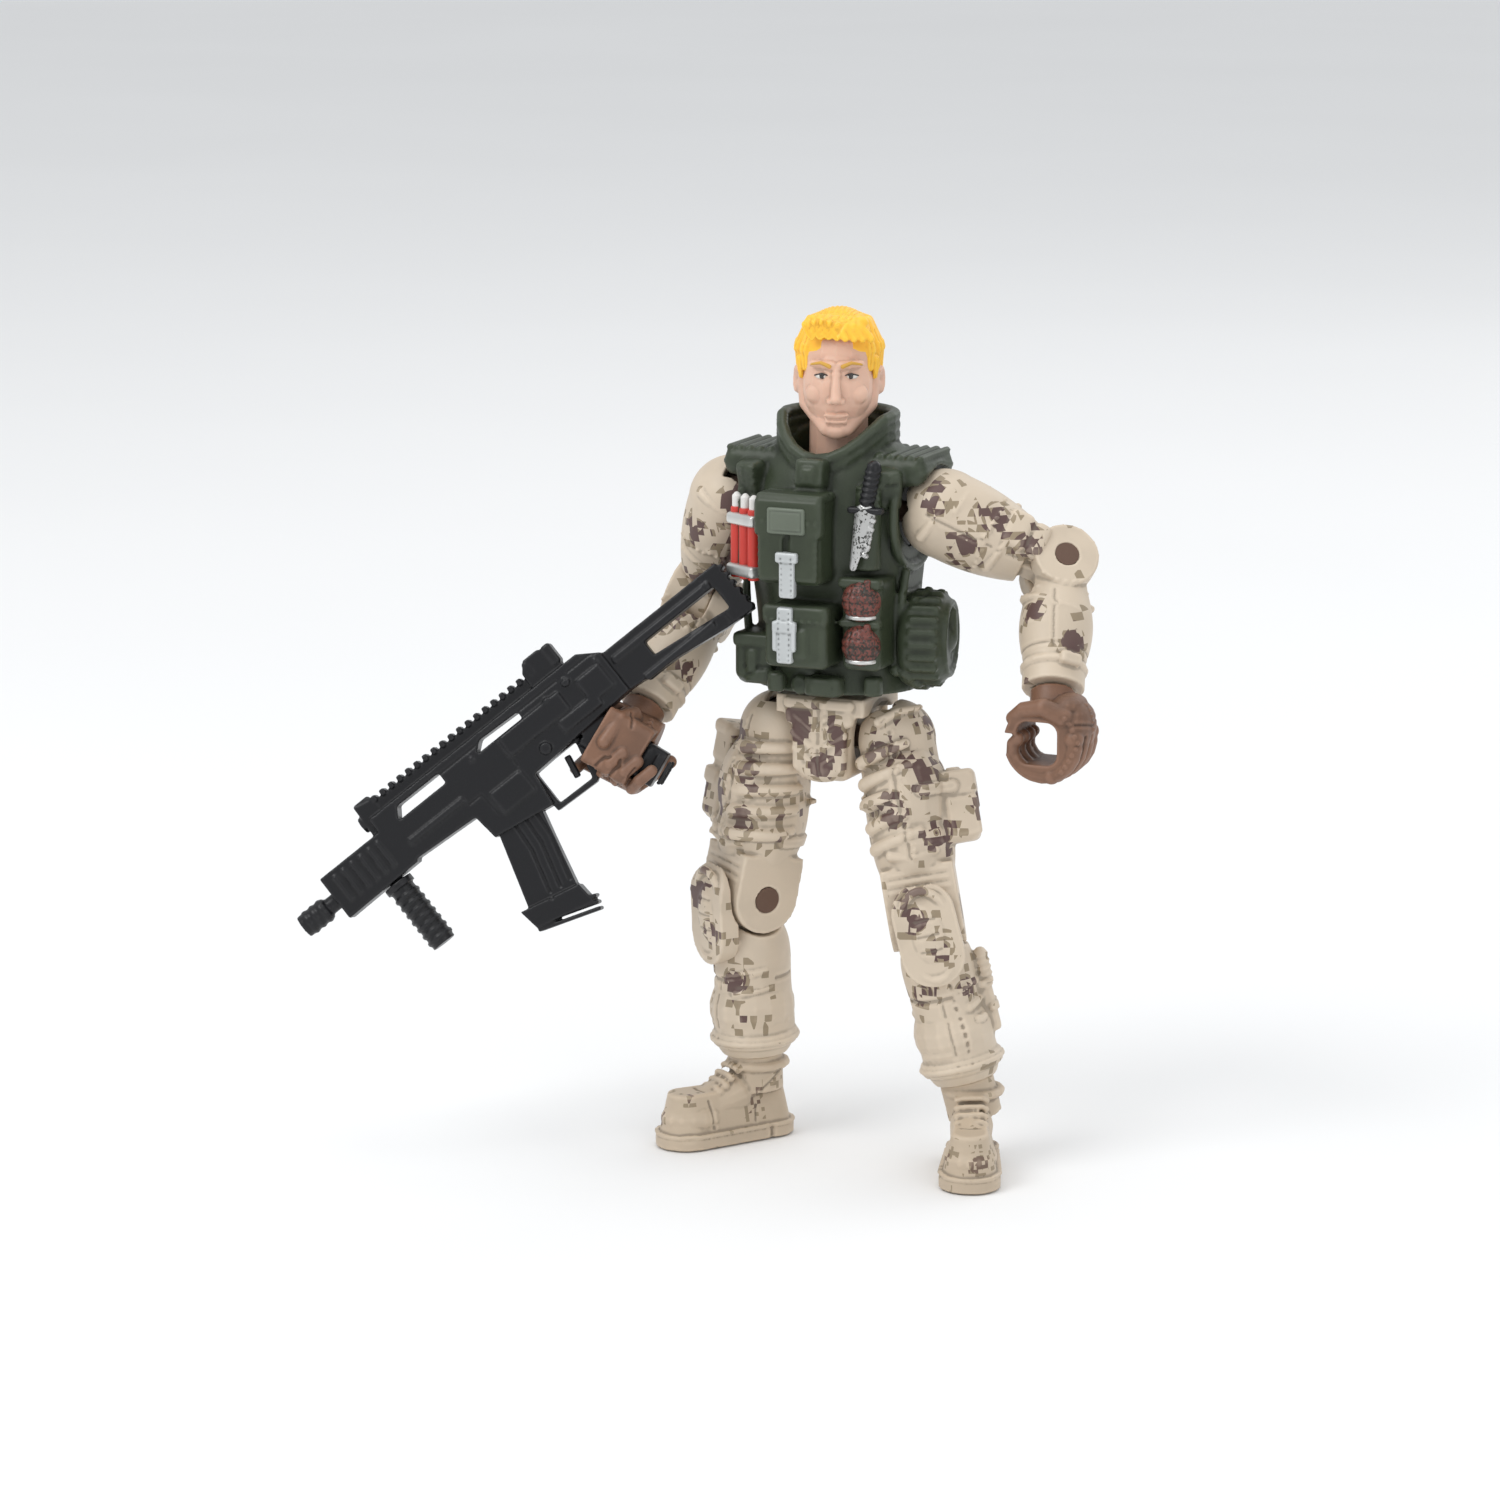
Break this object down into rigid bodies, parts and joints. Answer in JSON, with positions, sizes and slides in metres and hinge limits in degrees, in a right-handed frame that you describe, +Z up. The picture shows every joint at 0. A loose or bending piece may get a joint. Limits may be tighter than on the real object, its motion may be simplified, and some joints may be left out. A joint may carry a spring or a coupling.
{
  "type": "articulated action figure",
  "caption": "Free-standing poseable toy soldier with moulded uniform, tactical vest, jointed neck, waist and limbs, an open left hand and a rifle held in the right.",
  "frame": {"origin": "middle of the whole object's footprint box, on the plane that the boot soles stand on", "axes": "+Z up, -Y the way the torso faces, +X towards the figure's left hand"},
  "size_m": [0.0874, 0.0408, 0.0971],
  "materials": {
    "uniform_plastic": "moulded tan plastic with printed block camouflage",
    "vest_plastic": "soft olive green vinyl, satin",
    "black_plastic": "black plastic, semi gloss",
    "skin_plastic": "painted soft plastic",
    "glove_plastic": "brown plastic, satin",
    "pin_plastic": "brown plastic",
    "joint_plastic": "dark grey hard plastic",
    "trunk_plastic": "dark grey green hard plastic",
    "screw_steel": "zinc plated steel"
  },
  "bodies": {
    "torso": {"torso_front": "trunk_plastic", "torso_back": "trunk_plastic", "torso_screws": "screw_steel", "vest_front": "vest_plastic", "vest_back": "vest_plastic"},
    "neck": {"neck_post": "joint_plastic"},
    "head": {"head": "skin_plastic"},
    "pelvis": {"pelvis_front": "uniform_plastic", "pelvis_back": "uniform_plastic", "waist_peg": "joint_plastic"},
    "shoulder_axle_left": {"shoulder_axle_left": "joint_plastic"},
    "shoulder_ball_left": {"shoulder_ball_left": "joint_plastic", "shoulder_pin_left": "joint_plastic"},
    "upper_arm_left": {"upper_arm_front_left": "uniform_plastic", "upper_arm_back_left": "uniform_plastic"},
    "forearm_left": {"forearm_front_left": "uniform_plastic", "forearm_back_left": "uniform_plastic", "elbow_pin_left": "pin_plastic"},
    "hand_left": {"hand_left": "glove_plastic"},
    "hip_axle_left": {"hip_axle_left": "joint_plastic"},
    "hip_ball_left": {"hip_ball_left": "joint_plastic", "hip_pin_left": "joint_plastic"},
    "thigh_left": {"thigh_front_left": "uniform_plastic", "thigh_back_left": "uniform_plastic", "knee_pin_left": "pin_plastic"},
    "shin_left": {"shin_front_left": "uniform_plastic", "shin_back_left": "uniform_plastic", "knee_pad_left": "uniform_plastic", "boot_left": "uniform_plastic"},
    "shoulder_axle_right": {"shoulder_axle_right": "joint_plastic"},
    "shoulder_ball_right": {"shoulder_ball_right": "joint_plastic", "shoulder_pin_right": "joint_plastic"},
    "upper_arm_right": {"upper_arm_front_right": "uniform_plastic", "upper_arm_back_right": "uniform_plastic"},
    "forearm_right": {"forearm_front_right": "uniform_plastic", "forearm_back_right": "uniform_plastic", "elbow_pin_right": "pin_plastic"},
    "hand_right": {"hand_right": "glove_plastic"},
    "hip_axle_right": {"hip_axle_right": "joint_plastic"},
    "hip_ball_right": {"hip_ball_right": "joint_plastic", "hip_pin_right": "joint_plastic"},
    "thigh_right": {"thigh_front_right": "uniform_plastic", "thigh_back_right": "uniform_plastic", "knee_pin_right": "pin_plastic"},
    "shin_right": {"shin_front_right": "uniform_plastic", "shin_back_right": "uniform_plastic", "knee_pad_right": "uniform_plastic", "boot_right": "uniform_plastic"},
    "rifle": {"rifle_body": "black_plastic", "rifle_magazine": "black_plastic", "rifle_foregrip": "black_plastic"}
  },
  "joints": [
    {"name": "head_turn", "type": "hinge", "parent": "torso", "child": "neck", "pos_m": [0.01035, 0.01101, 0.0816], "axis": [0, 0, 1], "range_deg": [-60, 60]},
    {"name": "head_nod", "type": "hinge", "parent": "neck", "child": "head", "pos_m": [0.01035, 0.01101, 0.0816], "axis": [1, 0, 0], "range_deg": [-12, 12]},
    {"name": "waist_turn", "type": "hinge", "parent": "torso", "child": "pelvis", "pos_m": [0.01035, 0.01101, 0.054], "axis": [0, 0, 1], "range_deg": [-15, 15]},
    {"name": "shoulder_swing_left", "type": "hinge", "parent": "torso", "child": "shoulder_axle_left", "pos_m": [0.02335, 0.01101, 0.0743], "axis": [-1, 0, 0], "range_deg": [-60, 80]},
    {"name": "shoulder_raise_left", "type": "hinge", "parent": "shoulder_axle_left", "child": "shoulder_ball_left", "pos_m": [0.02335, 0.01101, 0.0743], "axis": [0, -0.8288, -0.5595], "range_deg": [-21, 22]},
    {"name": "arm_twist_left", "type": "hinge", "parent": "shoulder_ball_left", "child": "upper_arm_left", "pos_m": [0.02335, 0.01101, 0.0743], "axis": [0.86, 0.2855, -0.423], "range_deg": [-20, 20]},
    {"name": "elbow_bend_left", "type": "hinge", "parent": "upper_arm_left", "child": "forearm_left", "pos_m": [0.03555, 0.01506, 0.0683], "axis": [-0.4977, 0.6521, -0.5719], "range_deg": [-68, 24]},
    {"name": "wrist_turn_left", "type": "hinge", "parent": "forearm_left", "child": "hand_left", "pos_m": [0.03825, 0.00651, 0.0562], "axis": [0.1793, -0.5677, -0.8035], "range_deg": [-75, 75]},
    {"name": "hip_swing_left", "type": "hinge", "parent": "pelvis", "child": "hip_axle_left", "pos_m": [0.01755, 0.01101, 0.048], "axis": [-1, 0, 0], "range_deg": [-25, 60]},
    {"name": "hip_spread_left", "type": "hinge", "parent": "hip_axle_left", "child": "hip_ball_left", "pos_m": [0.01755, 0.01101, 0.048], "axis": [0, -0.9861, 0.1661], "range_deg": [-1, 35]},
    {"name": "thigh_twist_left", "type": "hinge", "parent": "hip_ball_left", "child": "thigh_left", "pos_m": [0.01755, 0.01101, 0.048], "axis": [0.2512, -0.1608, -0.9545], "range_deg": [-10, 10]},
    {"name": "knee_bend_left", "type": "hinge", "parent": "thigh_left", "child": "shin_left", "pos_m": [0.02255, 0.00781, 0.029], "axis": [0.9092, 0.3774, 0.1757], "range_deg": [-8, 62]},
    {"name": "shoulder_swing_right", "type": "hinge", "parent": "torso", "child": "shoulder_axle_right", "pos_m": [-0.00265, 0.01101, 0.0743], "axis": [-1, 0, 0], "range_deg": [0, 40]},
    {"name": "shoulder_raise_right", "type": "hinge", "parent": "shoulder_axle_right", "child": "shoulder_ball_right", "pos_m": [-0.00265, 0.01101, 0.0743], "axis": [0, 0.9701, 0.2425], "range_deg": [0, 45]},
    {"name": "arm_twist_right", "type": "hinge", "parent": "shoulder_ball_right", "child": "upper_arm_right", "pos_m": [-0.00265, 0.01101, 0.0743], "axis": [-0.3727, 0.2251, -0.9002], "range_deg": [0, 15]},
    {"name": "elbow_bend_right", "type": "hinge", "parent": "upper_arm_right", "child": "forearm_right", "pos_m": [-0.00795, 0.01421, 0.0615], "axis": [-0.9265, -0.1445, 0.3475], "range_deg": [-4, 1.5]},
    {"name": "wrist_turn_right", "type": "hinge", "parent": "forearm_right", "child": "hand_right", "pos_m": [-0.01015, 0.00331, 0.0511], "axis": [-0.1445, -0.7159, -0.6831], "range_deg": [0, 25]},
    {"name": "hip_swing_right", "type": "hinge", "parent": "pelvis", "child": "hip_axle_right", "pos_m": [0.00315, 0.01101, 0.048], "axis": [-1, 0, 0], "range_deg": [-25, 60]},
    {"name": "hip_spread_right", "type": "hinge", "parent": "hip_axle_right", "child": "hip_ball_right", "pos_m": [0.00315, 0.01101, 0.048], "axis": [0, 0.9945, -0.1047], "range_deg": [-1, 35]},
    {"name": "thigh_twist_right", "type": "hinge", "parent": "hip_ball_right", "child": "thigh_right", "pos_m": [0.00315, 0.01101, 0.048], "axis": [-0.1501, -0.1035, -0.9832], "range_deg": [-10, 10]},
    {"name": "knee_bend_right", "type": "hinge", "parent": "thigh_right", "child": "shin_right", "pos_m": [0.00025, 0.00901, 0.029], "axis": [0.8014, -0.5951, -0.0597], "range_deg": [-8, 62]},
    {"name": "rifle_slide", "type": "slide", "parent": "hand_right", "child": "rifle", "axis": [-0.8608, -0.1727, 0.4787], "range_m": [0, 0.01]}
  ]
}
